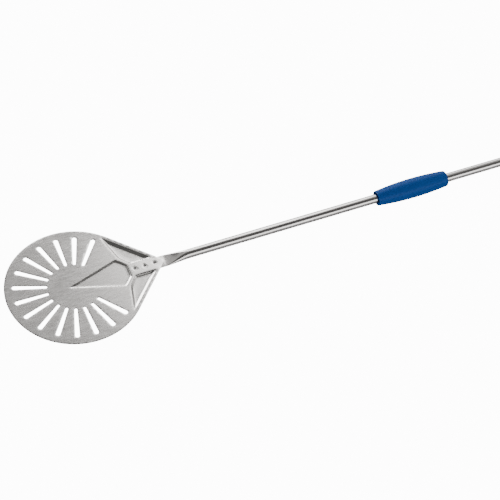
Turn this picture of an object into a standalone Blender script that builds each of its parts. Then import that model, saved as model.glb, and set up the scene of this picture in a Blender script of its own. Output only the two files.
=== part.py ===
"""A small round turning peel for a pizza oven: a pressed, slotted sheet blade riveted to the flattened end
of a long steel tube, with a grip that slides and turns on the tube and a fixed grip at its end.

Metres. +X runs from the blade to the end grip, +Z is up when the blade lies flat, and the world origin is
below the middle of the peel, on the plane that the two grips lie on.
"""

from math import asin, cos, pi, radians, sin

import bmesh
import bpy
from mathutils import Matrix, Vector
from mathutils.geometry import delaunay_2d_cdt

MM = 0.001
GAP = 0.3 * MM  # between pieces that touch

# Driving dimensions
OVERALL_LENGTH = 1700 * MM
BLADE_RADIUS = 115 * MM
GRIP_RADIUS = 17.4 * MM  # both grips, at their thickest
TUBE_RADIUS = 8 * MM
TUBE_WALL = 1 * MM
SHEET = 1 * MM

# Blade outline: a circle, then two tangents that meet in a rounded nose
TANGENT_NORMAL = radians(43.5)
NOSE_RADIUS = 5 * MM
OUTLINE_STEPS = 88
NOSE_STEPS = 8

# Slots, like rays about the blade's centre, with none towards the handle
SLOT_COUNT = 15
SLOT_PITCH = radians(18.25)
SLOT_INNER_END = 44.5 * MM
SLOT_OUTER_END = 101.8 * MM
SLOT_INNER_WIDTH = 4.7 * MM
SLOT_OUTER_WIDTH = 7.5 * MM
SLOT_END_STEPS = 5

# Recesses pressed down into the sheet. Each line is drawn at the middle of the sloping wall, from the
# blade's centre, and the other half of each mirrors it.
WEDGE_DEPTH = 2 * MM
WEDGE_WALL = 4 * MM
WEDGE_TIP_X = -6 * MM
WEDGE_SHOULDER = (80.5 * MM, 26.9 * MM)
WEDGE_HEEL = (94.8 * MM, 11.8 * MM)
POCKET_DEPTH = 3 * MM
POCKET_WALL = 5 * MM
POCKET_CORNERS = (
    (77.5 * MM, 74.0 * MM),
    (88.2 * MM, 30.9 * MM),
    (102.2 * MM, 14.4 * MM),
    (134.6 * MM, 14.4 * MM),
)

# Rivets along the flattened end of the tube
RIVET_NAMES = ("rivet_front", "rivet_middle", "rivet_rear")
RIVET_FIRST_X = 106.3 * MM  # from the blade's centre
RIVET_PITCH = 17.3 * MM
RIVET_SHANK = 2 * MM
RIVET_HEAD = 3.3 * MM
RIVET_DISH = 2 * MM
RIVET_DISH_DEPTH = 0.8 * MM
RIVET_TAIL_HEIGHT = 1 * MM

# Tube: flat under the blade, then opening to its full round
FLAT_HALF_THICKNESS = TUBE_WALL + 0.15 * MM
TUBE_START_X = 98 * MM  # from the blade's centre
NECK_START_X = 158 * MM
NECK_END_X = 200 * MM
NECK_SECTIONS = 10
TUBE_SIDES = 32  # a multiple of 4

# Sliding grip, with a plain bush in each end
SLEEVE_LENGTH = 134 * MM
SLEEVE_CENTRE_X = 618 * MM  # from the blade's centre
SLEEVE_WIDEST_X = 3 * MM  # from the sleeve's middle
BARREL_REACH = 69 * MM
BARREL_SAG = 4.2 * MM  # how much thinner a grip is at BARREL_REACH from its widest point
SLEEVE_EDGE = 1.2 * MM
MOUTH_RADIUS = 11.5 * MM
CORE_RADIUS = 10.2 * MM
BUSH_RECESS = 10 * MM
BUSH_LENGTH = 18 * MM
BUSH_BORE = TUBE_RADIUS + 0.35 * MM

# End grip, moulded over the tube's end, with a flat tongue and a hole to hang it by
GRIP_LENGTH = 130 * MM
GRIP_WIDEST = 62 * MM  # from the grip's front
GRIP_DOME = 26 * MM
GRIP_BORE_DEPTH = 88 * MM
TUBE_END_GAP = 3 * MM  # between the tube's end and the bottom of the bore
TONGUE_LENGTH = 36 * MM
TONGUE_THICKNESS = 10 * MM
TONGUE_FILLET = 6 * MM
FILLET_STEPS = 4
HANG_HOLE_RADIUS = 6 * MM
HANG_HOLE_INSET = 18.5 * MM
PIN_RADIUS = 2 * MM
PIN_INSET = 20 * MM
PIN_RECESS = 0.8 * MM

TURNED_STEPS = 40  # a multiple of 4
RIVET_STEPS = 20
MERGE = 0.05 * MM
FILL_TOLERANCE = 1e-7

# Places that follow from the sizes above
AXIS_Z = GRIP_RADIUS
BLADE_X = BLADE_RADIUS - OVERALL_LENGTH / 2
BLADE_TOP_Z = AXIS_Z + FLAT_HALF_THICKNESS + GAP + SHEET
TUBE_END_X = OVERALL_LENGTH / 2 - GRIP_LENGTH + GRIP_BORE_DEPTH - TUBE_END_GAP
GRIP_FRONT_X = OVERALL_LENGTH / 2 - GRIP_LENGTH
SLEEVE_X = BLADE_X + SLEEVE_CENTRE_X


# ---------------------------------------------------------------- scene


def clear_scene():
    for obj in list(bpy.data.objects):
        bpy.data.objects.remove(obj, do_unlink=True)


def new_collection(name):
    collection = bpy.data.collections.new(name)
    bpy.context.scene.collection.children.link(collection)
    return collection


def new_material(name, colour, roughness, metallic):
    material = bpy.data.materials.new(name)
    material.use_nodes = True
    shader = material.node_tree.nodes["Principled BSDF"]
    shader.inputs["Base Color"].default_value = (*colour, 1)
    shader.inputs["Roughness"].default_value = roughness
    shader.inputs["Metallic"].default_value = metallic
    return material


def new_object(name, mesh, collection, material=None, location=(0, 0, 0)):
    obj = bpy.data.objects.new(name, mesh)
    obj.location = location
    collection.objects.link(obj)
    if material:
        mesh.materials.append(material)
    return obj


def smooth(mesh, angle=35):
    mesh.shade_smooth()
    mesh.set_sharp_from_angle(angle=radians(angle))


# ---------------------------------------------------------------- shapes


def arc(centre, radius, start, end, steps):
    """Points from one angle to another about a centre, both ends included."""
    turns = [start + (end - start) * i / steps for i in range(steps + 1)]
    return [(centre[0] + radius * cos(a), centre[1] + radius * sin(a)) for a in turns]


def mirrored(points):
    """A half outline above the X axis, closed by its mirror image below."""
    below = [(x, -y) for x, y in reversed(points) if y > 0]
    return list(points) + below


def offset_polygon(points, distance):
    """A polygon's outline moved outwards by a distance, whichever way round its points run."""
    corners = [Vector(p) for p in points]
    area = sum(a.cross(b) for a, b in zip(corners, corners[1:] + corners[:1]))
    side = 1 if area > 0 else -1
    moved = []
    for i, corner in enumerate(corners):
        before = (corner - corners[i - 1]).normalized()
        after = (corners[(i + 1) % len(corners)] - corner).normalized()
        normals = [Vector((d.y, -d.x)) * side for d in (before, after)]
        middle = (normals[0] + normals[1]).normalized()
        moved.append(tuple(corner + middle * distance / middle.dot(normals[0])))
    return moved


def inside(point, loop):
    """Whether a point is inside a loop of points."""
    x, y = point
    found = False
    for (ax, ay), (bx, by) in zip(loop, loop[1:] + loop[:1]):
        if (ay > y) != (by > y) and x < ax + (y - ay) * (bx - ax) / (by - ay):
            found = not found
    return found


def turned(name, profile, collection, material=None, location=(0, 0, 0), steps=TURNED_STEPS, closed=True):
    """A solid turned about its own X axis from a profile of (x, radius) points, run along its outer side
    towards -X. An open profile starts and ends on the axis."""
    mesh = bpy.data.meshes.new(name)
    last = len(profile) if closed else len(profile) - 1
    edges = [(i, (i + 1) % len(profile)) for i in range(last)]
    mesh.from_pydata([(x, 0, r) for x, r in profile], edges, [])
    obj = new_object(name, mesh, collection, material, location)
    screw = obj.modifiers.new("Turn", "SCREW")
    screw.axis = "X"
    screw.steps = screw.render_steps = steps
    screw.use_merge_vertices = True
    screw.merge_threshold = MERGE
    screw.use_smooth_shade = True
    return obj


def apply_modifiers(obj):
    """Makes an object's evaluated mesh its own."""
    graph = bpy.context.evaluated_depsgraph_get()
    mesh = bpy.data.meshes.new_from_object(obj.evaluated_get(graph))
    obj.modifiers.clear()
    obj.data = mesh
    return obj


def cylinder_cutter(name, radius, depth, location, collection, axis="Z", top_radius=None, sides=24):
    """A cylinder or a cone for cutting, along Z or Y."""
    mesh = bpy.data.meshes.new(name)
    bm = bmesh.new()
    top = radius if top_radius is None else top_radius
    bmesh.ops.create_cone(
        bm, cap_ends=True, segments=sides, radius1=radius, radius2=top, depth=depth
    )
    if axis == "Y":
        bmesh.ops.rotate(bm, verts=bm.verts, matrix=Matrix.Rotation(pi / 2, 3, "X"))
    bm.to_mesh(mesh)
    bm.free()
    return hide_cutter(new_object(name, mesh, collection, location=location))


def box_cutter(name, size, location, collection):
    mesh = bpy.data.meshes.new(name)
    bm = bmesh.new()
    bmesh.ops.create_cube(bm, size=1, matrix=Matrix.Diagonal((*size, 1)))
    bm.to_mesh(mesh)
    bm.free()
    return hide_cutter(new_object(name, mesh, collection, location=location))


def hide_cutter(obj):
    obj.hide_render = True
    obj.display_type = "WIRE"
    return obj


def cut(obj, cutter):
    boolean = obj.modifiers.new(cutter.name, "BOOLEAN")
    boolean.operation = "DIFFERENCE"
    boolean.solver = "EXACT"
    boolean.object = cutter


# ---------------------------------------------------------------- blade


def blade_outline():
    nose_x = (BLADE_RADIUS - NOSE_RADIUS) / cos(TANGENT_NORMAL)
    rim = arc((0, 0), BLADE_RADIUS, TANGENT_NORMAL, 2 * pi - TANGENT_NORMAL, OUTLINE_STEPS)
    nose = arc((nose_x, 0), NOSE_RADIUS, -TANGENT_NORMAL, TANGENT_NORMAL, NOSE_STEPS)
    return rim + nose


def slot_outline(angle):
    """A tapered slot with round ends, along a ray at this angle."""
    outer, inner = SLOT_OUTER_WIDTH / 2, SLOT_INNER_WIDTH / 2
    far, near = SLOT_OUTER_END - outer, SLOT_INNER_END + inner
    square = pi / 2 + asin((outer - inner) / (far - near))
    points = arc((far, 0), outer, -square, square, SLOT_END_STEPS)
    points += arc((near, 0), inner, square, 2 * pi - square, SLOT_END_STEPS)
    return [tuple(Matrix.Rotation(angle, 2) @ Vector(p)) for p in points]


def recesses():
    """The pressed recesses: each outline at the middle of its wall, the wall's run and the depth."""
    wedge = mirrored([(WEDGE_TIP_X, 0), WEDGE_SHOULDER, WEDGE_HEEL])
    pocket = list(POCKET_CORNERS)
    other = [(x, -y) for x, y in pocket]
    yield wedge, WEDGE_WALL, WEDGE_DEPTH
    yield pocket, POCKET_WALL, POCKET_DEPTH
    yield other, POCKET_WALL, POCKET_DEPTH


def blade_surface():
    """The blade's top surface: the outline filled round the slots, with the recesses pressed down."""
    outline = blade_outline()
    half = (SLOT_COUNT - 1) // 2
    slots = [slot_outline(pi + SLOT_PITCH * k) for k in range(-half, half + 1)]
    loops = [(outline, 0)] + [(slot, 0) for slot in slots]
    for middle, wall, depth in recesses():
        loops.append((offset_polygon(middle, wall / 2), 0))
        loops.append((offset_polygon(middle, -wall / 2), -depth))

    points, heights, edges = [], [], []
    for loop, height in loops:
        first = len(points)
        edges += [(first + i, first + (i + 1) % len(loop)) for i in range(len(loop))]
        points += [Vector(p) for p in loop]
        heights += [height] * len(loop)

    filled, _, triangles, origins, _, _ = delaunay_2d_cdt(points, edges, [], 0, FILL_TOLERANCE)
    kept = []
    for triangle in triangles:
        centre = sum((filled[i] for i in triangle), Vector((0, 0))) / 3
        if inside(centre, outline) and not any(inside(centre, slot) for slot in slots):
            kept.append(triangle)
    mesh = bpy.data.meshes.new("blade")
    mesh.from_pydata([(p.x, p.y, heights[o[0]]) for p, o in zip(filled, origins)], [], kept)
    return mesh


def rivet_places():
    return [(BLADE_X + RIVET_FIRST_X + RIVET_PITCH * i, 0) for i in range(len(RIVET_NAMES))]


def make_blade(parts, cutters):
    steel = new_material("brushed_sheet", (0.56, 0.55, 0.54), 0.38, 1)
    blade = new_object("blade", blade_surface(), parts, steel, (BLADE_X, 0, BLADE_TOP_Z))
    solidify = blade.modifiers.new("Sheet", "SOLIDIFY")
    solidify.thickness = SHEET
    solidify.offset = -1
    solidify.use_even_offset = True
    for name, (x, y) in zip(RIVET_NAMES, rivet_places()):
        head, shank = RIVET_HEAD + GAP, RIVET_SHANK + GAP
        depth = 2 * SHEET
        slope = (head - shank) / SHEET
        reach = slope * SHEET / 2
        cut(
            blade,
            cylinder_cutter(
                f"cut_{name}_seat",
                shank - reach,
                depth,
                (x, y, BLADE_TOP_Z - SHEET / 2),
                cutters,
                top_radius=head + reach,
            ),
        )


# ---------------------------------------------------------------- handle tube


def tube_section(half_thickness, wall):
    """One section of the tube, pressed to this half thickness without changing its length round. It returns
    (y, z) points, inset by the wall, or at the outer skin when wall is 0."""
    flat = (2 * pi * TUBE_RADIUS - 2 * pi * half_thickness) / 4
    radius = half_thickness - wall
    count = TUBE_SIDES // 2
    points = []
    for side in (1, -1):
        for i in range(count):
            turn = side * pi * ((i + 0.5) / count - 0.5)
            points.append((side * (flat + radius * cos(turn)), radius * sin(turn)))
    return points


def neck_half_thickness(x):
    """Half the tube's outer thickness at this distance from the blade's centre."""
    t = min(max((x - NECK_START_X) / (NECK_END_X - NECK_START_X), 0), 1)
    ease = t * t * (3 - 2 * t)
    return FLAT_HALF_THICKNESS + (TUBE_RADIUS - FLAT_HALF_THICKNESS) * ease


def tube_mesh():
    """The tube's skin and bore as a loft along X, joined by a ring of faces at each open end."""
    neck = [
        NECK_START_X + (NECK_END_X - NECK_START_X) * i / NECK_SECTIONS
        for i in range(NECK_SECTIONS + 1)
    ]
    stations = [TUBE_START_X] + neck + [TUBE_END_X - BLADE_X]
    bm = bmesh.new()
    skins = []
    for wall in (0, TUBE_WALL):
        rings = []
        for x in stations:
            section = tube_section(neck_half_thickness(x), wall)
            rings.append([bm.verts.new((x, y, z)) for y, z in section])
        skins.append(rings)
    bands = []
    for rings in skins:
        bands += list(zip(rings, rings[1:]))
    bands += [(skins[0][end], skins[1][end]) for end in (0, -1)]
    for near, far in bands:
        for i in range(TUBE_SIDES):
            j = (i + 1) % TUBE_SIDES
            bm.faces.new((near[i], near[j], far[j], far[i]))
    bmesh.ops.recalc_face_normals(bm, faces=bm.faces)
    mesh = bpy.data.meshes.new("handle_tube")
    bm.to_mesh(mesh)
    bm.free()
    smooth(mesh)
    return mesh


def make_tube(parts, cutters):
    steel = new_material("polished_tube", (0.62, 0.61, 0.6), 0.2, 1)
    tube = new_object("handle_tube", tube_mesh(), parts, steel, (BLADE_X, 0, AXIS_Z))
    for name, (x, y) in zip(RIVET_NAMES, rivet_places()):
        hole, depth = (x, y, AXIS_Z), 2 * TUBE_RADIUS
        cut(tube, cylinder_cutter(f"cut_{name}_hole", RIVET_SHANK + GAP, depth, hole, cutters))
    cut(tube, pin_cutter("cut_tube_pin_hole", cutters))


# ---------------------------------------------------------------- rivets and pin


def make_rivets(parts):
    """Countersunk rivets, dished in the head and set to a flat tail under the tube. Each stands on end."""
    steel = new_material("rivet_steel", (0.5, 0.5, 0.5), 0.3, 1)
    sheet_under = BLADE_TOP_Z - SHEET
    tail_top = AXIS_Z - FLAT_HALF_THICKNESS - GAP
    profile = [
        (BLADE_TOP_Z - RIVET_DISH_DEPTH, 0),
        (BLADE_TOP_Z, RIVET_DISH),
        (BLADE_TOP_Z, RIVET_HEAD),
        (sheet_under, RIVET_SHANK),
        (tail_top, RIVET_SHANK),
        (tail_top, RIVET_HEAD),
        (tail_top - RIVET_TAIL_HEIGHT, RIVET_HEAD - RIVET_TAIL_HEIGHT / 2),
        (tail_top - RIVET_TAIL_HEIGHT, 0),
    ]
    for name, (x, y) in zip(RIVET_NAMES, rivet_places()):
        rivet = turned(name, profile, parts, steel, steps=RIVET_STEPS, closed=False)
        rivet.rotation_euler = (0, -pi / 2, 0)
        rivet.location = (x, y, 0)


def grip_radius(from_widest):
    """A grip's outer radius at this distance from its thickest point."""
    return GRIP_RADIUS - BARREL_SAG * (from_widest / BARREL_REACH) ** 2


def pin_cutter(name, cutters):
    place = (GRIP_FRONT_X + PIN_INSET, 0, AXIS_Z)
    return cylinder_cutter(name, PIN_RADIUS + GAP, 3 * GRIP_RADIUS, place, cutters, "Y")


def make_pin(parts):
    """The pin across the end grip and the tube, with a small chamfer at each end."""
    steel = new_material("pin_steel", (0.5, 0.5, 0.5), 0.35, 1)
    half = grip_radius(PIN_INSET - GRIP_WIDEST) - PIN_RECESS
    chamfer = 0.4 * MM
    profile = [
        (half, 0),
        (half, PIN_RADIUS - chamfer),
        (half - chamfer, PIN_RADIUS),
        (chamfer - half, PIN_RADIUS),
        (-half, PIN_RADIUS - chamfer),
        (-half, 0),
    ]
    pin = turned("grip_pin", profile, parts, steel, steps=RIVET_STEPS, closed=False)
    pin.rotation_euler = (0, 0, pi / 2)
    pin.location = (GRIP_FRONT_X + PIN_INSET, 0, AXIS_Z)


# ---------------------------------------------------------------- sliding grip


def make_sleeve(parts):
    """The moulded shell, barrel shaped outside, with a wide mouth and a shoulder inside each end."""
    blue = new_material("blue_grip", (0.012, 0.1, 0.46), 0.42, 0)
    half = SLEEVE_LENGTH / 2
    steps = 14
    outer = []
    for i in range(steps + 1):
        x = (half - SLEEVE_EDGE) * (1 - 2 * i / steps)
        outer.append((x, grip_radius(x - SLEEVE_WIDEST_X)))
    ends = [grip_radius(x - SLEEVE_WIDEST_X) - SLEEVE_EDGE for x in (half, -half)]
    shoulder = half - BUSH_RECESS - BUSH_LENGTH - GAP
    inner = [
        (-half, ends[1]),
        (-half, MOUTH_RADIUS),
        (-shoulder, MOUTH_RADIUS),
        (-shoulder, CORE_RADIUS),
        (shoulder, CORE_RADIUS),
        (shoulder, MOUTH_RADIUS),
        (half, MOUTH_RADIUS),
        (half, ends[0]),
    ]
    turned("sleeve_shell", outer + inner, parts, blue, (SLEEVE_X, 0, AXIS_Z))


def make_bushes(parts):
    """A plain bush at each end of the sliding grip, which runs on the tube."""
    plastic = new_material("bush_plastic", (0.03, 0.03, 0.035), 0.5, 0)
    middle = SLEEVE_LENGTH / 2 - BUSH_RECESS - BUSH_LENGTH / 2
    half, chamfer = BUSH_LENGTH / 2, 0.8 * MM
    outside = MOUTH_RADIUS - GAP
    for name, side in (("sleeve_bush_front", -1), ("sleeve_bush_rear", 1)):
        profile = [
            (half, outside - chamfer),
            (half - chamfer, outside),
            (chamfer - half, outside),
            (-half, outside - chamfer),
            (-half, BUSH_BORE + chamfer),
            (chamfer - half, BUSH_BORE),
            (half - chamfer, BUSH_BORE),
            (half, BUSH_BORE + chamfer),
        ]
        bush = turned(name, profile, parts, plastic, (SLEEVE_X, 0, AXIS_Z))
        for vertex in bush.data.vertices:
            vertex.co.x += side * middle


# ---------------------------------------------------------------- end grip


def make_end_grip(parts, cutters):
    """The fixed grip: a barrel with a blind bore for the tube, its domed end cut to a tongue."""
    blue = new_material("blue_end_grip", (0.012, 0.1, 0.46), 0.42, 0)
    barrel_end = GRIP_LENGTH - GRIP_DOME
    dome_radius = grip_radius(barrel_end - GRIP_WIDEST)
    dome_steps, barrel_steps = 8, 12
    bore = TUBE_RADIUS + GAP
    outer = []
    for i in range(dome_steps + 1):
        turn = pi / 2 * i / dome_steps
        outer.append((barrel_end + GRIP_DOME * cos(turn), dome_radius * sin(turn)))
    for i in range(1, barrel_steps + 1):
        x = barrel_end + (SLEEVE_EDGE - barrel_end) * i / barrel_steps
        outer.append((x, grip_radius(x - GRIP_WIDEST)))
    front = grip_radius(GRIP_WIDEST) - SLEEVE_EDGE
    inner = [(0, front), (0, bore), (GRIP_BORE_DEPTH, bore), (GRIP_BORE_DEPTH, 0)]
    place = (GRIP_FRONT_X, 0, AXIS_Z)
    grip = turned("end_grip", outer + inner, parts, blue, place, closed=False)
    apply_modifiers(grip)

    cheek = 2 * GRIP_RADIUS
    for name, side in (("cut_tongue_top", 1), ("cut_tongue_under", -1)):
        size = (2 * TONGUE_LENGTH, 2 * cheek, cheek)
        z = AXIS_Z + side * (TONGUE_THICKNESS + cheek) / 2
        cutter = box_cutter(name, size, (OVERALL_LENGTH / 2, 0, z), cutters)
        fillet = cutter.modifiers.new("Fillet", "BEVEL")
        fillet.width = TONGUE_FILLET
        fillet.segments = FILLET_STEPS
        cut(grip, cutter)
    hole = (OVERALL_LENGTH / 2 - HANG_HOLE_INSET, 0, AXIS_Z)
    cut(grip, cylinder_cutter("cut_hang_hole", HANG_HOLE_RADIUS, 3 * GRIP_RADIUS, hole, cutters))
    cut(grip, pin_cutter("cut_grip_pin_hole", cutters))


def main():
    clear_scene()
    parts = new_collection("pizza_peel")
    cutters = new_collection("cutters")
    make_blade(parts, cutters)
    make_tube(parts, cutters)
    make_rivets(parts)
    make_sleeve(parts)
    make_bushes(parts)
    make_end_grip(parts, cutters)
    make_pin(parts)


main()
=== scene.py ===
# The looks of a small round turning peel: its pressed, slotted blade, riveted tube and two blue grips, with
# their finishes, a pale floor, soft studio light and a camera. Metres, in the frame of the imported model.

from math import asin, cos, pi, radians, sin, tan

import bmesh
import bpy
import numpy as np
from mathutils import Matrix, Vector
from mathutils.geometry import delaunay_2d_cdt


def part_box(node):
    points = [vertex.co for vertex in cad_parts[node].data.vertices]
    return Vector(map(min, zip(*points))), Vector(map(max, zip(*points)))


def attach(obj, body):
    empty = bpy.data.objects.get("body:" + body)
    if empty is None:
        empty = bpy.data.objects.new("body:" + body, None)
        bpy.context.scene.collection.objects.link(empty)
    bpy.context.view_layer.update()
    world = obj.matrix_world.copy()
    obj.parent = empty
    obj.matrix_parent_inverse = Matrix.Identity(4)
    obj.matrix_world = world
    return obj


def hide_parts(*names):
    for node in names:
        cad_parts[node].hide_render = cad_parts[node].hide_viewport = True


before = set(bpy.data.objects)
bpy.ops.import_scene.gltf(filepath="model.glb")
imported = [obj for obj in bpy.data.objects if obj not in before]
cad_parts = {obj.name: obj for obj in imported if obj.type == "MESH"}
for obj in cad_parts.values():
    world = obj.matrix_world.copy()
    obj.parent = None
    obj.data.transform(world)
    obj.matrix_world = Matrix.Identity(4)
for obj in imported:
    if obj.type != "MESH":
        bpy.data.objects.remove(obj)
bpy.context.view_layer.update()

MM = 0.001
UP = Vector((0, 0, 1))
HAIR = 0.05 * MM  # between surfaces that touch

# Sheet blade, from its centre
TANGENT_NORMAL = radians(43.5)
NOSE_RADIUS = 5 * MM
SHEET = 1 * MM
SHEET_EDGE = 0.12 * MM
SLOT_COUNT = 15
SLOT_PITCH = radians(18.25)
SLOT_ENDS = (44.5 * MM, 101.8 * MM)
SLOT_WIDTHS = (4.7 * MM, 7.5 * MM)
NEAR_END_STEPS = 10
FAR_END_STEPS = 12
SLOT_SIDE_STEPS = 14
RIM_STEPS = 260
NOSE_STEPS = 14
OUTLINE_SPACING = 2.6 * MM
WEDGE_CORNERS = ((-6 * MM, 0), (80.5 * MM, 26.9 * MM), (94.8 * MM, 11.8 * MM))
WEDGE_DEPTH = 2 * MM
WEDGE_WALL = 4 * MM
POCKET_CORNERS = (
    (77.5 * MM, 74.0 * MM),
    (88.2 * MM, 30.9 * MM),
    (102.2 * MM, 14.4 * MM),
    (134.6 * MM, 14.4 * MM),
)
POCKET_DEPTH = 3 * MM
POCKET_WALL = 4.6 * MM
RIM_WALL = 6.6 * MM
POCKET_DISH = 0.35 * MM
DISH_RUN = 12 * MM
CORNER_SOFTNESS = 0.9 * MM

# The straight edges of the blade turn up a little. How far from the centre that starts, its width and
# shape, and where it fades in: start and run past the end of the round edge, and away from the nose
MARGIN_START = 110.5 * MM
MARGIN_WIDTH = 4.5 * MM
MARGIN_POWER = 1.4
MARGIN_RISE = 0.5 * MM
ROUND_FADE = (8 * MM, 12 * MM)
NOSE_FADE = (10 * MM, 6 * MM)

# Lines and points that the sheet's mesh is drawn through
WALL_LINES = 5  # on each side of a wall's middle
WALL_POINT_SPACING = 1.3 * MM
FLOOR_POINT_SPACING = 2.4 * MM
GRID_SPACING = 3.2 * MM
GRID_ROW_PITCH = 0.866
GRID_CLEARANCE = 1.5 * MM
GRID_END = 160 * MM
CONTOUR_STEPS = 2880
CONTOUR_REACH = 300 * MM
HALVINGS = 40
WELD = 1e-7

# Flattened end and neck of the tube, from the blade's centre
TUBE_WALL = 1 * MM
FLAT_HALF = 1.15 * MM
NECK = (158 * MM, 200 * MM)
NECK_EVENNESS = 0.35
NECK_SECTIONS = 29
TUBE_SECTIONS = 9
TUBE_SIDES = 72

# Rivets
DISH_RADIUS = 2.75 * MM
DISH_DEPTH = 0.95 * MM
DISH_STEPS = 10
RIVET_LIP = 0.12 * MM
RIVET_STEPS = 48
RIVET_HOLE_STEPS = 32
TAIL_HEIGHT = 1 * MM
TAIL_SHOULDER = 0.6  # of its height
TAIL_FILLET = 0.5 * MM
SHANK = 2 * MM

# Grips
GRIP_RADIUS = 17.4 * MM
BARREL_REACH = 69 * MM
BARREL_SAG = 4.2 * MM
SLEEVE_WIDEST = 3 * MM
MOUTH = 11.5 * MM
CORE = 10.2 * MM
SLEEVE_SECTIONS = 41
BUSH_RECESS = 10 * MM
BUSH_SEAT = 18.3 * MM
BUSH_BORE = 8.35 * MM
BUSH_ROUNDING = 0.8 * MM
FRONT_EDGE = 2 * MM
REAR_EDGE = 0.9 * MM
MOUTH_EDGES = (0.5 * MM, 0.6 * MM)  # rear, front
GRIP_WIDEST = 62 * MM
GRIP_DOME = 26 * MM
GRIP_BORE = 8.3 * MM
GRIP_BORE_DEPTH = 88 * MM
GRIP_BORE_EDGE = 0.5 * MM
GRIP_EDGE_STEPS = 8
GRIP_SECTIONS = 44
DOME_STEPS = 24
GRIP_STEPS = 128
TONGUE_LENGTH = 36 * MM
TONGUE_HALF = 5 * MM
TONGUE_BLEND = 9 * MM
TONGUE_SQUARENESS = 10
BARREL_LIMIT = 1.2 * GRIP_RADIUS  # beyond the barrel, so that it stays round
HANG_HOLE = 6 * MM
HANG_INSET = 18.5 * MM
HANG_LIP = 1.2 * MM
HANG_LIP_POINTS = 6
HANG_STEPS = 64
CUT_MARGIN = 0.2 * MM
CUT_PAST = 4 * MM
PIN_RADIUS = 2 * MM
PIN_EDGE = 0.45 * MM
PIN_GAP = 0.15 * MM
PIN_STEPS = 40
TURN_STEPS = 96

# Camera, from the blade's centre
CAMERA_PLACE = Vector((-0.5903, -1.6836, 2.4020))
CAMERA_AZIMUTH = radians(-118.333)
CAMERA_ELEVATION = radians(51.990)
CAMERA_ROLL = radians(6.491)
CAMERA_LENS = 131.07
CAMERA_SHIFT = (-0.001, 0.001)
SENSOR = 36

# Soft boxes: aimed at a point this far along the peel from the blade's centre, seen from there in this
# azimuth, elevation and distance, with a width and height in degrees, and a brightness
LIGHTS = (
    ("front_box", 0.35, -95, 17, 4.0, 100, 31, 2.8),
    ("right_box", 0.35, -12, 28, 4.0, 26, 20, 2.4),
    ("back_strip", 0.35, 92, 14, 4.0, 90, 12, 1.4),
    ("blade_strip", -0.05, 92, 11, 1.3, 50, 16, 15.0),
    ("back_low_box", 0.35, 76, 31, 4.0, 60, 22, 2.6),
    ("back_box", 0.35, 58, 58, 4.0, 46, 32, 0.5),
    ("blade_panel", 0.0, 46, 42, 1.3, 24, 24, 3.4),
)

# Steel's shades: each times the steel's own tone, and its warmth
GROOVE = (0.88, 0.034)
RIDGE = (1.07, 0.028)
CLOUD = (0.80, 0.036)
WORN = (1.25, 0.02)
PALEST = 0.9

# Studio walls: the height of each direction, from level to straight up, and its brightness
WALLS = ((0.0, 0.45), (0.30, 0.50), (0.52, 0.40), (0.68, 0.13), (0.94, 0.11), (1.0, 0.13))
FLOOR_HALF = 12
FLOOR_TONE = 0.40
FLOOR_WHITE = 13.0


# ---------------------------------------------------------------- meshes


def smoothstep(t):
    """0 to 1 with soft ends."""
    t = np.clip(t, 0, 1)
    return t * t * (3 - 2 * t)


def add_object(name, mesh, material=None):
    obj = bpy.data.objects.new(name, mesh)
    bpy.context.scene.collection.objects.link(obj)
    if material:
        mesh.materials.append(material)
    return obj


def add_modifier(obj, kind, **settings):
    modifier = obj.modifiers.new(kind.title(), kind)
    for key, value in settings.items():
        setattr(modifier, key, value)
    return modifier


def settle(obj, angle=32):
    """Applies an object's modifiers and shades it smooth, apart from its corners."""
    graph = bpy.context.evaluated_depsgraph_get()
    mesh = bpy.data.meshes.new_from_object(obj.evaluated_get(graph))
    obj.modifiers.clear()
    obj.data = mesh
    mesh.shade_smooth()
    mesh.set_sharp_from_angle(angle=radians(angle))
    return obj


def skin(name, rings, closed, material=None):
    """Quads between rings of points, which close on themselves, or else shut at both ends."""
    bm = bmesh.new()
    made = [[bm.verts.new(p) for p in ring] for ring in rings]
    pairs = list(zip(made, made[1:]))
    if closed:
        pairs.append((made[-1], made[0]))
    for near, far in pairs:
        for i in range(len(near)):
            j = (i + 1) % len(near)
            bm.faces.new((near[i], near[j], far[j], far[i]))
    bmesh.ops.remove_doubles(bm, verts=bm.verts, dist=MM / 1000)
    bmesh.ops.recalc_face_normals(bm, faces=bm.faces)
    mesh = bpy.data.meshes.new(name)
    bm.to_mesh(mesh)
    bm.free()
    return add_object(name, mesh, material)


def turned(name, profile, centre, axis="X", closed=True, steps=TURN_STEPS, material=None):
    """A profile of (along, radius) points turned about an axis through a centre."""
    turns = [2 * pi * i / steps for i in range(steps)]
    order = {"X": (0, 1, 2), "Y": (1, 2, 0), "Z": (2, 0, 1)}[axis]
    rings = []
    for along, radius in profile:
        ring = []
        for turn in turns:
            point = [0, 0, 0]
            point[order[0]] = along
            point[order[1]] = radius * cos(turn)
            point[order[2]] = radius * sin(turn)
            ring.append(Vector(point) + centre)
        rings.append(ring)
    return settle(skin(name, rings, closed, material))


def filleted(corners, closed=True, steps=5):
    """A profile whose corners are (along, radius, fillet): each one rounded by its own fillet."""
    made = []
    last = len(corners) - 1
    for i, (x, r, fillet) in enumerate(corners):
        here = Vector((x, r))
        if fillet <= 0 or (not closed and i in (0, last)):
            made.append((x, r))
            continue
        before = Vector(corners[i - 1][:2]) - here
        after = Vector(corners[(i + 1) % len(corners)][:2]) - here
        half = before.angle(after) / 2
        reach = fillet / tan(half)
        centre = here + (before.normalized() + after.normalized()).normalized() * fillet / sin(half)
        start = here + before.normalized() * reach - centre
        end = here + after.normalized() * reach - centre
        sweep = start.angle_signed(end)
        for k in range(steps + 1):
            turn = Matrix.Rotation(-sweep * k / steps, 2)
            made.append(tuple(centre + turn @ start))
    return made


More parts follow.
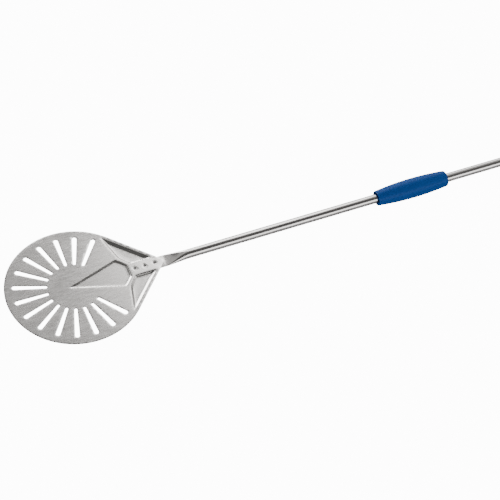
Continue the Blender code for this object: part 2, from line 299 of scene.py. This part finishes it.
def arc(centre, radius, start, end, steps):
    """Points round a circle from one turn to another, both ends included."""
    turns = [start + (end - start) * i / steps for i in range(steps + 1)]
    return [(centre[0] + radius * cos(a), centre[1] + radius * sin(a)) for a in turns]


# ---------------------------------------------------------------- blade


def between(start, end):
    """Evenly spaced points on a straight line, without its ends."""
    return [start.lerp(end, k / SLOT_SIDE_STEPS) for k in range(1, SLOT_SIDE_STEPS)]


def slot_outline(angle):
    """A slot along a ray at this angle, with two round ends, the far one wider."""
    inner, outer = (w / 2 for w in SLOT_WIDTHS)
    near, far = SLOT_ENDS[0] + inner, SLOT_ENDS[1] - outer
    square = pi / 2 + asin((outer - inner) / (far - near))
    far_end = [Vector(p) for p in arc((far, 0), outer, -square, square, FAR_END_STEPS)]
    near_end = [Vector(p) for p in arc((near, 0), inner, square, 2 * pi - square, NEAR_END_STEPS)]
    loop = far_end + between(far_end[-1], near_end[0])
    loop += near_end + between(near_end[-1], far_end[0])
    return np.array([Matrix.Rotation(angle, 2) @ p for p in loop])


def blade_outline(radius):
    """A circle, then two tangents that meet in a rounded nose."""
    nose_x = (radius - NOSE_RADIUS) / cos(TANGENT_NORMAL)
    rim = arc((0, 0), radius, TANGENT_NORMAL, 2 * pi - TANGENT_NORMAL, RIM_STEPS)
    nose = arc((nose_x, 0), NOSE_RADIUS, -TANGENT_NORMAL, TANGENT_NORMAL, NOSE_STEPS)
    loop = []
    ends = [Vector(p) for p in rim + nose]
    for here, after in zip(ends, ends[1:] + ends[:1]):
        parts = max(1, round((after - here).length / OUTLINE_SPACING))
        loop += [here.lerp(after, k / parts) for k in range(parts)]
    return np.array(loop)


def planes(corners, walls):
    """The outward normal, offset and wall scale of each side of a convex outline."""
    points = [Vector(p) for p in corners]
    middle = sum(points, Vector((0, 0))) / len(points)
    found = []
    for here, after, wall in zip(points, points[1:] + points[:1], walls):
        along = (after - here).normalized()
        normal = Vector((along.y, -along.x))
        if normal.dot(middle - here) > 0:
            normal = -normal
        found.append((normal.x, normal.y, normal.dot(here), walls[0] / wall))
    return np.array(found)


def recess_distance(sides, x, y):
    """How far outside a recess's mid-wall line a point is, with the line's corners rounded."""
    d = (sides[:, 0] * x[..., None] + sides[:, 1] * y[..., None] - sides[:, 2]) * sides[:, 3]
    top = d.max(axis=-1, keepdims=True)
    return top[..., 0] + CORNER_SOFTNESS * np.log(np.exp((d - top) / CORNER_SOFTNESS).sum(axis=-1))


def recesses():
    """Each recess's sides, wall and depth, and how much its floor is dished."""
    tip, shoulder, heel = WEDGE_CORNERS
    wedge = [tip, shoulder, heel, (heel[0], -heel[1]), (shoulder[0], -shoulder[1])]
    yield planes(wedge, [WEDGE_WALL] * len(wedge)), WEDGE_WALL, WEDGE_DEPTH, 0
    walls = [POCKET_WALL] * 3 + [RIM_WALL]
    for side in (1, -1):
        pocket = [(x, side * y) for x, y in POCKET_CORNERS]
        yield planes(pocket, walls), POCKET_WALL, POCKET_DEPTH, POCKET_DISH


def blade_height(x, y):
    """The height of the sheet's top face above its flat disc."""
    height = np.zeros_like(x)
    for sides, wall, depth, dish in recesses():
        d = recess_distance(sides, x, y)
        height -= depth * smoothstep((wall / 2 - d) / wall)
        height -= dish * smoothstep((-wall / 2 - d) / DISH_RUN)
    nx, ny = cos(TANGENT_NORMAL), sin(TANGENT_NORMAL)
    out = nx * x + ny * np.abs(y)
    along = -ny * x + nx * np.abs(y)
    edge = np.clip((out - MARGIN_START) / MARGIN_WIDTH, 0, 1) ** MARGIN_POWER
    edge *= smoothstep((ROUND_FADE[0] - along) / ROUND_FADE[1])
    edge *= smoothstep((np.abs(y) - NOSE_FADE[0]) / NOSE_FADE[1])
    return height + MARGIN_RISE * edge


def contour(sides, level, spacing):
    """A closed line at this distance from a recess's mid-wall line, with evenly spaced points."""
    corners = []
    for a, b in zip(sides, np.roll(sides, -1, axis=0)):
        corners.append(np.linalg.solve([a[:2], b[:2]], [a[2], b[2]]))
    middle = np.mean(corners, axis=0)
    turns = np.linspace(0, 2 * pi, CONTOUR_STEPS, endpoint=False)
    near, far = np.zeros_like(turns), np.full_like(turns, CONTOUR_REACH)
    for _ in range(HALVINGS):
        reach = (near + far) / 2
        x, y = middle[0] + reach * np.cos(turns), middle[1] + reach * np.sin(turns)
        outside = recess_distance(sides, x, y) > level
        far, near = np.where(outside, reach, far), np.where(outside, near, reach)
    line = np.stack([x, y], axis=1)
    step = np.linalg.norm(np.roll(line, -1, axis=0) - line, axis=1)
    travelled = np.concatenate([[0], np.cumsum(step)])
    count = round(travelled[-1] / spacing)
    wanted = np.arange(count) * travelled[-1] / count
    shut = np.vstack([line, line[:1]])
    return np.stack([np.interp(wanted, travelled, shut[:, k]) for k in (0, 1)], axis=1)


def inside(points, loop):
    """Whether each point is inside a loop."""
    found = np.zeros(len(points), bool)
    x, y = points[:, 0], points[:, 1]
    for (ax, ay), (bx, by) in zip(loop, np.roll(loop, -1, axis=0)):
        if ay == by:
            continue
        crosses = ((ay > y) != (by > y)) & (x < ax + (y - ay) * (bx - ax) / (by - ay))
        found ^= crosses
    return found


def clearance(points, loops):
    """Each point's distance from the nearest point of any loop."""
    near = np.full(len(points), np.inf)
    for loop in loops:
        apart = np.linalg.norm(points[:, None] - loop[None], axis=2).min(axis=1)
        near = np.minimum(near, apart)
    return near


def floor_levels(dish):
    """How far in from the wall's foot to draw lines on a recess's floor."""
    return [GRID_SPACING * k for k in (1, 2)] if dish else []


def blade_mesh(radius, rivets, rivet_radius):
    """The sheet's top face, with triangles that follow its outline, slots, rivet holes and walls."""
    half = (SLOT_COUNT - 1) // 2
    outline = blade_outline(radius)
    slots = [slot_outline(pi + SLOT_PITCH * k) for k in range(-half, half + 1)]
    seats = [np.array(arc((x, 0), rivet_radius, 0, 2 * pi, RIVET_HOLE_STEPS)[:-1]) for x in rivets]
    contours = []
    for sides, wall, _, dish in recesses():
        for k in range(-WALL_LINES, WALL_LINES + 1):
            contours.append(contour(sides, wall * k / (2 * WALL_LINES), WALL_POINT_SPACING))
        for inward in floor_levels(dish):
            contours.append(contour(sides, -wall / 2 - inward, FLOOR_POINT_SPACING))
    loops = [outline] + slots + seats + contours
    xs = np.arange(-radius, GRID_END, GRID_SPACING)
    ys = np.arange(-radius, radius, GRID_SPACING * GRID_ROW_PITCH)
    grid = np.array([(x + GRID_SPACING / 2 * (i % 2), y) for i, y in enumerate(ys) for x in xs])
    grid = grid[clearance(grid, loops) > GRID_CLEARANCE]
    points, edges = [], []
    for loop in loops:
        first, count = len(points), len(loop)
        points += [Vector(p) for p in loop]
        edges += [(first + i, first + (i + 1) % count) for i in range(count)]
    points += [Vector(p) for p in grid]
    filled, _, triangles, _, _, _ = delaunay_2d_cdt(points, edges, [], 0, WELD)
    flat = np.array([tuple(p) for p in filled])
    centres = flat[np.array([tuple(t) for t in triangles])].mean(axis=1)
    kept = inside(centres, outline)
    for hole in slots + seats:
        kept &= ~inside(centres, hole)
    heights = blade_height(flat[:, 0], flat[:, 1])
    mesh = bpy.data.meshes.new("blade_sheet")
    faces = [tuple(t) for t, keep in zip(triangles, kept) if keep]
    mesh.from_pydata([(x, y, z) for (x, y), z in zip(flat, heights)], [], faces)
    return mesh


def make_blade(material, centre, radius, rivets, rivet_radius):
    """The pressed sheet, with its edges eased."""
    mesh = blade_mesh(radius, rivets, rivet_radius)
    bm = bmesh.new()
    bm.from_mesh(mesh)
    bmesh.ops.delete(bm, geom=[v for v in bm.verts if not v.link_faces], context="VERTS")
    bmesh.ops.recalc_face_normals(bm, faces=bm.faces)
    if sum(f.normal.z for f in bm.faces) < 0:
        bmesh.ops.reverse_faces(bm, faces=bm.faces)
    bmesh.ops.translate(bm, verts=bm.verts, vec=centre)
    bm.to_mesh(mesh)
    bm.free()
    blade = add_object("blade_sheet", mesh, material)
    add_modifier(blade, "SOLIDIFY", thickness=SHEET, offset=-1, use_even_offset=True)
    add_modifier(
        blade, "BEVEL", width=SHEET_EDGE, segments=2, limit_method="ANGLE", angle_limit=radians(60)
    )
    return settle(blade, 40)


# ---------------------------------------------------------------- tube


def tube_section(half, wall, full):
    """The (y, z) points of the tube pressed to this half thickness, with its length round unchanged."""
    flat = pi * (full - half) / 2
    radius = half - wall
    count = TUBE_SIDES // 2
    points = []
    for side in (1, -1):
        for i in range(count):
            turn = side * pi * ((i + 0.5) / count - 0.5)
            points.append((side * (flat + radius * cos(turn)), radius * sin(turn)))
    return points


def neck_half(x, full):
    """The neck opens nearly evenly, so that its top and bottom are flat triangles, with soft ends."""
    t = min(max((x - NECK[0]) / (NECK[1] - NECK[0]), 0), 1)
    ease = NECK_EVENNESS * t + (1 - NECK_EVENNESS) * t * t * (3 - 2 * t)
    return FLAT_HALF + (full - FLAT_HALF) * ease


def make_tube(material, centre, full, start, end):
    """The tube's outer and inner skins, from its pressed front end to its rear end."""
    neck = np.linspace(NECK[0], NECK[1], NECK_SECTIONS)
    rest = np.linspace(NECK[1], end - centre.x, TUBE_SECTIONS)[1:]
    stations = [start - centre.x] + list(neck) + list(rest)
    skins = []
    for wall in (0, TUBE_WALL):
        rings = []
        for x in stations:
            section = tube_section(neck_half(x, full), wall, full)
            rings.append([(centre.x + x, centre.y + y, centre.z + z) for y, z in section])
        skins.append(rings)
    return settle(skin("handle_tube_polished", skins[0] + skins[1][::-1], True, material))


# ---------------------------------------------------------------- small steel pieces


def make_rivet(name, material, node):
    """A rivet with a dished head on top and a low, bevelled tail."""
    low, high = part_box(node)
    middle = (low + high) / 2
    head = (high.x - low.x) / 2
    top, bottom = high.z, low.z
    bowl = (DISH_RADIUS**2 + DISH_DEPTH**2) / (2 * DISH_DEPTH)
    profile = []
    for i in range(DISH_STEPS + 1):
        r = DISH_RADIUS * i / DISH_STEPS
        profile.append((top - DISH_DEPTH + bowl - (bowl**2 - r**2) ** 0.5, r))
    profile += [(top, DISH_RADIUS + RIVET_LIP), (top, head - RIVET_LIP), (top - RIVET_LIP, head)]
    profile += [(top - SHEET, SHANK), (bottom + TAIL_HEIGHT, SHANK)]
    tail = [
        (bottom + TAIL_HEIGHT, head - RIVET_LIP, 0),
        (bottom + TAIL_HEIGHT * TAIL_SHOULDER, head, 0),
        (bottom, head - TAIL_HEIGHT, TAIL_FILLET),
        (bottom, 0, 0),
    ]
    profile += filleted(tail, closed=False)
    centre = Vector((middle.x, middle.y, 0))
    return turned(name, profile, centre, "Z", False, RIVET_STEPS, material)


def make_pin(material, node):
    low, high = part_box(node)
    half = (high.y - low.y) / 2
    corners = [(-half, 0, 0), (-half, PIN_RADIUS, PIN_EDGE), (half, PIN_RADIUS, PIN_EDGE), (half, 0, 0)]
    profile = filleted(corners, closed=False)
    return turned("grip_pin_turned", profile, (low + high) / 2, "Y", False, PIN_STEPS, material)


# ---------------------------------------------------------------- grips


def barrel(from_widest):
    """A grip's outer radius at this distance from its thickest point."""
    return GRIP_RADIUS - BARREL_SAG * (from_widest / BARREL_REACH) ** 2


def make_sleeve(material, node):
    """The sliding grip: a barrel with a seat for a bush near each end."""
    low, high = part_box(node)
    half = (high.x - low.x) / 2
    run = np.linspace(half - FRONT_EDGE, FRONT_EDGE - half, SLEEVE_SECTIONS)
    corners = [(half, barrel(half - SLEEVE_WIDEST), FRONT_EDGE)]
    corners += [(x, barrel(x - SLEEVE_WIDEST), 0) for x in run[1:-1]]
    shoulder = half - BUSH_RECESS - BUSH_SEAT
    corners += [
        (-half, barrel(-half - SLEEVE_WIDEST), REAR_EDGE),
        (-half, MOUTH, MOUTH_EDGES[0]),
        (-shoulder, MOUTH, 0),
        (-shoulder, CORE, 0),
        (shoulder, CORE, 0),
        (shoulder, MOUTH, 0),
        (half, MOUTH, MOUTH_EDGES[1]),
    ]
    return turned("sleeve_moulding", filleted(corners), (low + high) / 2, material=material)


def make_bush(name, material, node):
    low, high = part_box(node)
    half, outside = (high.x - low.x) / 2, (high.y - low.y) / 2
    corners = [
        (half, outside, BUSH_ROUNDING),
        (-half, outside, BUSH_ROUNDING),
        (-half, BUSH_BORE, BUSH_ROUNDING),
        (half, BUSH_BORE, BUSH_ROUNDING),
    ]
    return turned(name, filleted(corners), (low + high) / 2, material=material)


def end_grip_profile(length):
    """The end grip's bore, then its outside, from its front face to the tip of its dome."""
    bore = [(GRIP_BORE_DEPTH, 0), (GRIP_BORE_DEPTH, GRIP_BORE), (GRIP_BORE_EDGE, GRIP_BORE)]
    bore += [(0, GRIP_BORE + GRIP_BORE_EDGE)]
    barrel_end = length - GRIP_DOME
    edge_centre = (FRONT_EDGE, barrel(GRIP_WIDEST) - FRONT_EDGE)
    outside = arc(edge_centre, FRONT_EDGE, pi, pi / 2, GRIP_EDGE_STEPS)
    stations = np.linspace(FRONT_EDGE, barrel_end, GRIP_SECTIONS)[1:]
    outside += [(x, barrel(x - GRIP_WIDEST)) for x in stations]
    dome = barrel(barrel_end - GRIP_WIDEST)
    for i in range(1, DOME_STEPS + 1):
        turn = pi / 2 * i / DOME_STEPS
        outside.append((barrel_end + GRIP_DOME * sin(turn), dome * cos(turn)))
    return bore, outside


def tongue_limit(x, length):
    """How far the end grip reaches above and below its axis: less and less towards its tongue."""
    t = smoothstep((x - (length - TONGUE_LENGTH - TONGUE_BLEND / 2)) / TONGUE_BLEND)
    return BARREL_LIMIT + (TONGUE_HALF - BARREL_LIMIT) * t


def hang_hole_cutter(place):
    """A hole through the tongue, flared at both ends."""
    reach = TONGUE_HALF + CUT_MARGIN
    flare = [(z, HANG_HOLE + HANG_LIP - (HANG_LIP**2 - (HANG_LIP - (reach - z)) ** 2) ** 0.5)
             for z in np.linspace(reach - HANG_LIP, reach, HANG_LIP_POINTS)]
    upper = flare + [(reach + CUT_PAST, flare[-1][1])]
    spool = [(-z, r) for z, r in reversed(upper)] + upper
    spool = [(spool[0][0], 0)] + spool + [(spool[-1][0], 0)]
    return turned("cut_hang_hole", spool, place, "Z", False, HANG_STEPS)


def pin_hole_cutter(place):
    bore = PIN_RADIUS + PIN_GAP
    ends = 3 * GRIP_RADIUS
    drill = [(-ends, 0), (-ends, bore), (ends, bore), (ends, 0)]
    return turned("cut_pin_hole", drill, place, "Y", False, PIN_STEPS)


def make_end_grip(material, node, pin_node):
    """A barrel that narrows, over a smooth blend, to a flat tongue with a round end."""
    low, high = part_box(node)
    height = ((low + high) / 2).z
    length = high.x - low.x
    bore, outside = end_grip_profile(length)
    turns = [2 * pi * i / GRIP_STEPS for i in range(GRIP_STEPS)]
    rings = []
    for x, r in bore:
        rings.append([(low.x + x, r * cos(turn), height + r * sin(turn)) for turn in turns])
    for x, r in outside:
        limit = tongue_limit(x, length)
        ring = []
        for turn in turns:
            z = r * sin(turn)
            z /= (1 + (z / limit) ** TONGUE_SQUARENESS) ** (1 / TONGUE_SQUARENESS)
            ring.append((low.x + x, r * cos(turn), height + z))
        rings.append(ring)
    grip = skin("end_grip_moulding", rings, False, material)

    pin_low, pin_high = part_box(pin_node)
    hang_hole = hang_hole_cutter(Vector((high.x - HANG_INSET, 0, height)))
    cutters = [hang_hole, pin_hole_cutter((pin_low + pin_high) / 2)]
    for cutter in cutters:
        add_modifier(grip, "BOOLEAN", operation="DIFFERENCE", solver="EXACT", object=cutter)
    settle(grip, 30)
    for cutter in cutters:
        bpy.data.objects.remove(cutter)
    return grip


# ---------------------------------------------------------------- materials


class Shading:
    """A material's nodes, made and linked in short calls."""

    def __init__(self, name):
        self.material = bpy.data.materials.new(name)
        self.material.use_nodes = True
        self.tree = self.material.node_tree
        self.shader = self.tree.nodes["Principled BSDF"]
        self.place = self.node("ShaderNodeTexCoord").outputs["Object"]

    def node(self, kind, inputs=None, **settings):
        made = self.tree.nodes.new(kind)
        for key, value in settings.items():
            setattr(made, key, value)
        for key, value in (inputs or {}).items():
            self.put(value, made.inputs[key])
        return made

    def put(self, value, socket):
        if isinstance(value, bpy.types.NodeSocket):
            self.tree.links.new(value, socket)
        else:
            socket.default_value = value

    def noise(self, scale, stretch=(1, 1, 1), detail=3, roughness=0.55):
        moved = self.node("ShaderNodeMapping", {"Vector": self.place, "Scale": stretch})
        vector = moved.outputs["Vector"]
        inputs = {"Vector": vector, "Scale": scale, "Detail": detail, "Roughness": roughness}
        return self.node("ShaderNodeTexNoise", inputs).outputs["Fac"]

    def spread(self, value, low, high, start=0.3, end=0.7):
        """A value from start to end made to run from low to high."""
        inputs = {0: value, 1: start, 2: end, 3: low, 4: high}
        return self.node("ShaderNodeMapRange", inputs).outputs[0]

    def maths(self, operation, a, b):
        return self.node("ShaderNodeMath", {0: a, 1: b}, operation=operation).outputs[0]

    def blend(self, factor, a, b):
        made = self.node("ShaderNodeMix", {"Factor": factor}, data_type="RGBA")
        self.put(a, made.inputs[6])
        self.put(b, made.inputs[7])
        return made.outputs[2]

    def edges(self, start, end):
        """1 along worn outer edges, 0 elsewhere."""
        sharp = self.node("ShaderNodeNewGeometry").outputs["Pointiness"]
        return self.spread(sharp, 0.0, 1.0, start, end)

    def bump(self, height, strength, distance):
        inputs = {"Height": height, "Strength": strength, "Distance": distance}
        made = self.node("ShaderNodeBump", inputs)
        self.put(made.outputs["Normal"], self.shader.inputs["Normal"])

    def set(self, **values):
        for key, value in values.items():
            self.put(value, self.shader.inputs[key.replace("_", " ")])


def grey(value, warmth=0.0):
    return (value * (1 + warmth), value, value * (1 - warmth), 1)


def shade(tone, kind):
    factor, warmth = kind
    return grey(min(tone * factor, PALEST), warmth)


def steel(name, tone, roughness, grain, stretch, strength, cloud=14.0):
    """Stainless steel with a directional grain, cloudy variation, faint scratches and paler edges."""
    s = Shading(name)
    lines = s.noise(grain, stretch, 4, 0.6)
    clouds = s.noise(cloud, (1, 1, 1), 3)
    scratch = s.noise(grain * 0.23, tuple(v * 0.35 for v in stretch[:2]) + (stretch[2],), 2, 0.4)
    marks = s.spread(scratch, 0.0, 1.0, 0.62, 0.7)
    wear = s.edges(0.52, 0.58)
    base = s.blend(s.spread(lines, 0, 1), shade(tone, GROOVE), shade(tone, RIDGE))
    base = s.blend(s.spread(clouds, 0, 0.45), base, shade(tone, CLOUD))
    base = s.blend(s.maths("MULTIPLY", wear, 0.5), base, shade(tone, WORN))
    brushed = s.spread(lines, -0.05, 0.05)
    cloudy = s.spread(clouds, roughness - 0.04, roughness + 0.04)
    rough = s.maths("ADD", brushed, cloudy)
    rough = s.maths("SUBTRACT", rough, s.maths("MULTIPLY", marks, 0.05))
    s.set(Base_Color=base, Roughness=rough, Metallic=1.0)
    s.bump(s.maths("ADD", lines, s.maths("MULTIPLY", marks, -0.4)), strength, 0.1 * MM)
    return s.material


def plastic(name, colour, dark, pale, roughness, grain, strength):
    """A moulded polymer with a fine texture, slight mottling, rubbed patches and paler edges."""
    s = Shading(name)
    fine = s.noise(grain, (1, 1, 1), 2, 0.7)
    mottle = s.noise(28.0, (1, 1, 1), 4)
    rub = s.noise(9.0, (0.4, 1, 1), 3)
    wear = s.edges(0.53, 0.62)
    base = s.blend(s.spread(mottle, 0, 1), dark, colour)
    base = s.blend(s.maths("MULTIPLY", wear, 0.45), base, pale)
    grainy = s.spread(fine, -0.01, 0.01)
    rubbed = s.spread(rub, roughness + 0.05, roughness - 0.06)
    rough = s.maths("ADD", grainy, rubbed)
    s.set(Base_Color=base, Roughness=rough, Metallic=0.0, Specular_IOR_Level=0.12)
    s.bump(fine, strength, 0.15 * MM)
    return s.material


# ---------------------------------------------------------------- stage


def make_floor():
    """A wide pale floor. It shows as plain white, lights the piece above it more gently, and is clear
    from below."""
    bm = bmesh.new()
    bmesh.ops.create_grid(bm, x_segments=1, y_segments=1, size=FLOOR_HALF)
    mesh = bpy.data.meshes.new("floor")
    bm.to_mesh(mesh)
    bm.free()
    s = Shading("pale_floor")
    s.set(Base_Color=grey(FLOOR_TONE), Roughness=0.9)
    white = s.node("ShaderNodeEmission", {"Color": grey(1.0), "Strength": FLOOR_WHITE})
    seen = s.node("ShaderNodeLightPath").outputs["Is Camera Ray"]
    mix = s.node("ShaderNodeMixShader", {0: seen})
    s.put(s.shader.outputs[0], mix.inputs[1])
    s.put(white.outputs[0], mix.inputs[2])
    underside = s.node("ShaderNodeNewGeometry").outputs["Backfacing"]
    below = s.node("ShaderNodeMixShader", {0: underside})
    s.put(mix.outputs[0], below.inputs[1])
    s.put(s.node("ShaderNodeBsdfTransparent").outputs[0], below.inputs[2])
    s.put(below.outputs[0], s.tree.nodes["Material Output"].inputs["Surface"])
    add_object("floor", mesh, s.material)


def towards(azimuth, elevation):
    return Vector((cos(elevation) * cos(azimuth), cos(elevation) * sin(azimuth), sin(elevation)))


def make_lights(centre):
    """Large soft boxes round the peel, each facing its own target."""
    for name, along, azimuth, elevation, distance, width, height, brightness in LIGHTS:
        data = bpy.data.lights.new(name, "AREA")
        data.shape = "RECTANGLE"
        data.size = 2 * distance * tan(radians(width) / 2)
        data.size_y = 2 * distance * tan(radians(height) / 2)
        data.energy = pi * brightness * data.size * data.size_y
        light = bpy.data.objects.new(name, data)
        bpy.context.scene.collection.objects.link(light)
        way = towards(radians(azimuth), radians(elevation))
        light.location = centre + Vector((along, 0, 0)) + way * distance
        light.rotation_euler = (-way).to_track_quat("-Z", "Y").to_euler()


def make_walls():
    """The studio's walls and ceiling, paler near the floor and darker overhead."""
    world = bpy.data.worlds.new("studio")
    bpy.context.scene.world = world
    world.use_nodes = True
    tree = world.node_tree
    place = tree.nodes.new("ShaderNodeTexCoord")
    parts = tree.nodes.new("ShaderNodeSeparateXYZ")
    ramp = tree.nodes.new("ShaderNodeValToRGB")
    tree.links.new(place.outputs["Generated"], parts.inputs[0])
    tree.links.new(parts.outputs["Z"], ramp.inputs["Fac"])
    tree.links.new(ramp.outputs["Color"], tree.nodes["Background"].inputs["Color"])
    stops = ramp.color_ramp.elements
    stops[0].color = grey(WALLS[0][1])
    stops[1].color = grey(WALLS[-1][1])
    for height, tone in WALLS[1:-1]:
        stops.new(height).color = grey(tone)


def make_camera(target):
    """A long lens, facing back along its azimuth and elevation, and rolled a little."""
    data = bpy.data.cameras.new("camera")
    data.lens, data.sensor_width = CAMERA_LENS, SENSOR
    data.shift_x, data.shift_y = CAMERA_SHIFT
    camera = bpy.data.objects.new("camera", data)
    bpy.context.scene.collection.objects.link(camera)
    back = towards(CAMERA_AZIMUTH, CAMERA_ELEVATION)
    right = UP.cross(back).normalized()
    right = Matrix.Rotation(CAMERA_ROLL, 3, back) @ right
    facing = Matrix((right, back.cross(right), back)).transposed().to_4x4()
    camera.matrix_world = Matrix.Translation(target + CAMERA_PLACE) @ facing
    bpy.context.scene.camera = camera


# ---------------------------------------------------------------- the peel


def declare(piece, body, node):
    """Makes a piece move with its body, and hides the CAD node that it stands for."""
    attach(piece, body)
    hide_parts(node)


def make_head(sheet_steel, tube_steel, small_steel):
    """The blade, the tube and the rivets between them. Gives the centre of the blade's top."""
    low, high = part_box("blade")
    radius = (high.y - low.y) / 2
    centre = Vector((low.x + radius, (high.y + low.y) / 2, high.z))
    rivets = ("rivet_front", "rivet_middle", "rivet_rear")
    heads = [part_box(node) for node in rivets]
    places = [(head_low.x + head_high.x) / 2 - centre.x for head_low, head_high in heads]
    seat = (heads[0][1].x - heads[0][0].x) / 2 + HAIR
    declare(make_blade(sheet_steel, centre, radius, places, seat), "peel", "blade")

    low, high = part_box("handle_tube")
    axis = Vector((centre.x, centre.y, (high.z + low.z) / 2))
    tube = make_tube(tube_steel, axis, (high.z - low.z) / 2, low.x, high.x)
    declare(tube, "peel", "handle_tube")
    for node in rivets:
        declare(make_rivet(node + "_dished", small_steel, node), "peel", node)
    return centre


def make_grips(grip_blue, black, small_steel):
    """The sliding grip with its two bushes, and the end grip with its pin."""
    declare(make_sleeve(grip_blue, "sleeve_shell"), "sleeve", "sleeve_shell")
    for node in ("sleeve_bush_front", "sleeve_bush_rear"):
        bush = make_bush(node + "_moulded", black, node)
        declare(bush, "sleeve_bushes", node)
    end_grip = make_end_grip(grip_blue, "end_grip", "grip_pin")
    declare(end_grip, "peel", "end_grip")
    declare(make_pin(small_steel, "grip_pin"), "peel", "grip_pin")


def make_peel():
    sheet_steel = steel(
        "brushed_sheet", tone=0.60, roughness=0.24, grain=420.0, stretch=(0.16, 1, 1), strength=0.15
    )
    tube_steel = steel(
        "polished_tube", tone=0.66, roughness=0.17, grain=500.0, stretch=(1, 0.25, 0.25), strength=0.04,
        cloud=22.0,
    )
    small_steel = steel(
        "rivet_steel", tone=0.26, roughness=0.20, grain=700.0, stretch=(1, 1, 0.5), strength=0.05,
        cloud=60.0,
    )
    grip_blue = plastic(
        "blue_polymer", colour=(0.0004, 0.053, 0.235, 1), dark=(0.0004, 0.047, 0.215, 1),
        pale=(0.006, 0.11, 0.38, 1), roughness=0.42, grain=1400.0, strength=0.03,
    )
    black = plastic(
        "bush_polymer", colour=(0.02, 0.02, 0.023, 1), dark=(0.012, 0.012, 0.014, 1),
        pale=(0.06, 0.06, 0.065, 1), roughness=0.5, grain=900.0, strength=0.1,
    )
    centre = make_head(sheet_steel, tube_steel, small_steel)
    make_grips(grip_blue, black, small_steel)
    return centre


blade_centre = make_peel()
make_floor()
make_lights(blade_centre)
make_walls()
make_camera(blade_centre)
